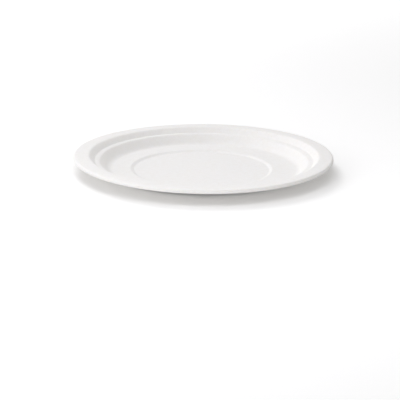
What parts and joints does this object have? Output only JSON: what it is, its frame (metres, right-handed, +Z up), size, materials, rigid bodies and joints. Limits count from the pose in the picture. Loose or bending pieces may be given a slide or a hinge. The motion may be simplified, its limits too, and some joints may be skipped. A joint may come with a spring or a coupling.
{
  "type": "paper plate",
  "caption": "Round disposable plate of pressed white plant fibre: flat rim with a turned-down lip, ledged wall, level floor and a sunk round middle.",
  "frame": {"origin": "middle of the base, on the surface that the plate stands on", "axes": "+Z up along the plate's axis, through its middle"},
  "size_m": [0.23, 0.23, 0.0144],
  "materials": {
    "moulded_fibre": "matt moulded fibre, faintly satin on the eating side and finely screened underneath"
  },
  "bodies": {
    "root": {"plate": "moulded_fibre"}
  },
  "joints": []
}
